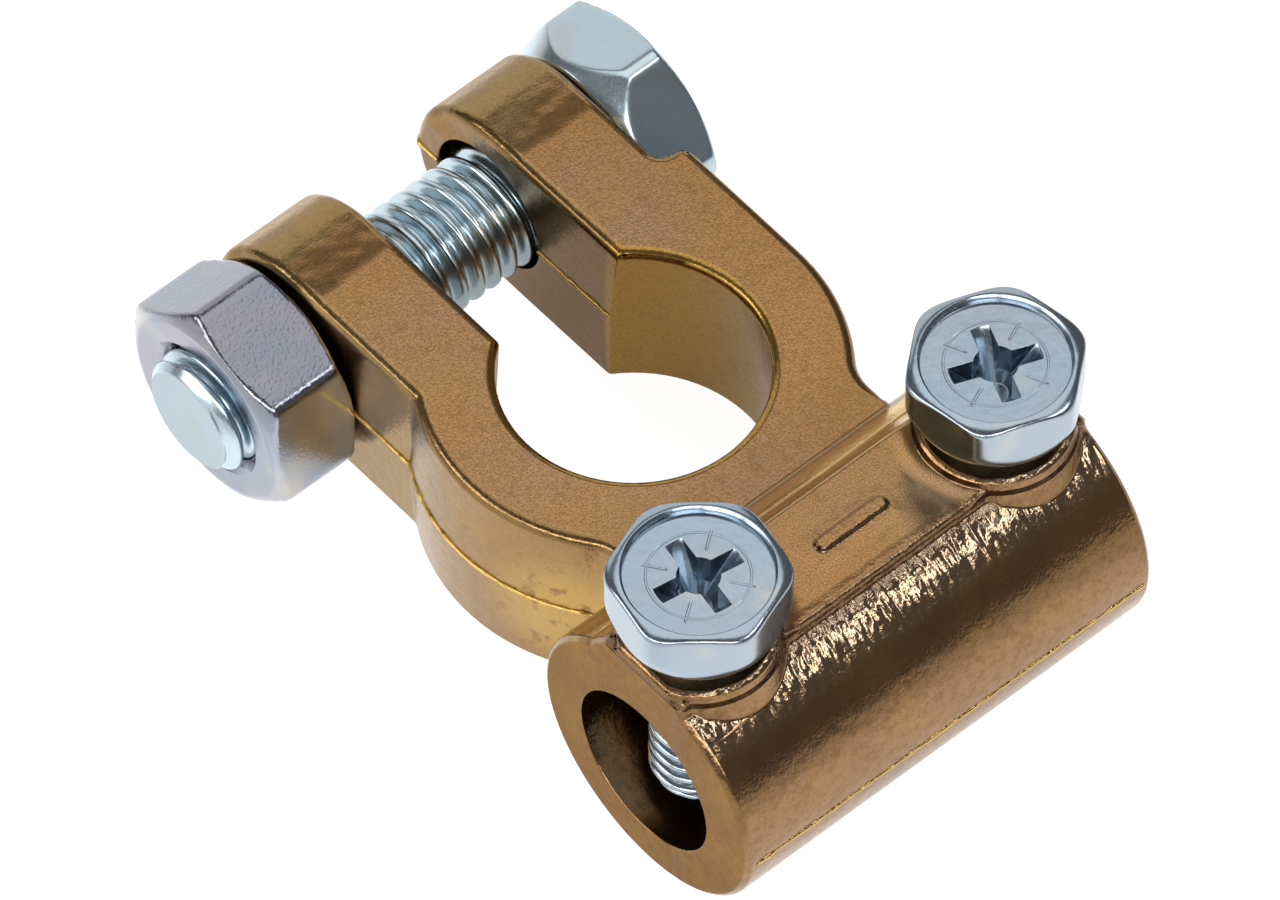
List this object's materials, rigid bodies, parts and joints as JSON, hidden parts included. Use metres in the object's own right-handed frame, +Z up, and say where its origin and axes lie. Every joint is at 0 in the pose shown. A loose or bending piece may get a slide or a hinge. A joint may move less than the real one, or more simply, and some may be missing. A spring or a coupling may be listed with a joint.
{
  "type": "battery terminal clamp",
  "caption": "Cast brass battery post clamp with a split ring, a clamping bolt and nut across its ears, and a cable barrel with clamping screws.",
  "frame": {"origin": "axis of the battery post's bore, in the plane of the ring's underside", "axes": "+Z up along the post's axis, +X along the clamping bolt and the cable barrel towards the bolt's head, +Y from the cable barrel to the ears"},
  "size_m": [0.0357, 0.0533, 0.0246],
  "materials": {
    "cast_brass": "sand-cast brass, bead-blasted and sanded on the flats",
    "bolt_plating": "bright zinc plating on steel",
    "nut_plating": "bright zinc plating on steel, faintly iridescent",
    "screw_plating": "bright zinc plating on steel"
  },
  "bodies": {
    "clamp": {"clamp_body": "cast_brass", "terminal_bolt": "bolt_plating"},
    "nut": {"terminal_nut": "nut_plating"},
    "left_screw": {"cable_screw_left": "screw_plating"},
    "right_screw": {"cable_screw_right": "screw_plating"}
  },
  "joints": [
    {"name": "nut_travel", "type": "slide", "parent": "clamp", "child": "nut", "axis": [-1, 0, 0], "range_m": [0, 0.0062]},
    {"name": "left_screw_travel", "type": "slide", "parent": "clamp", "child": "left_screw", "axis": [0, 0, 1], "range_m": [-0.0014, 0.0126]},
    {"name": "right_screw_travel", "type": "slide", "parent": "clamp", "child": "right_screw", "axis": [0, 0, 1], "range_m": [-0.0014, 0.0126]}
  ]
}
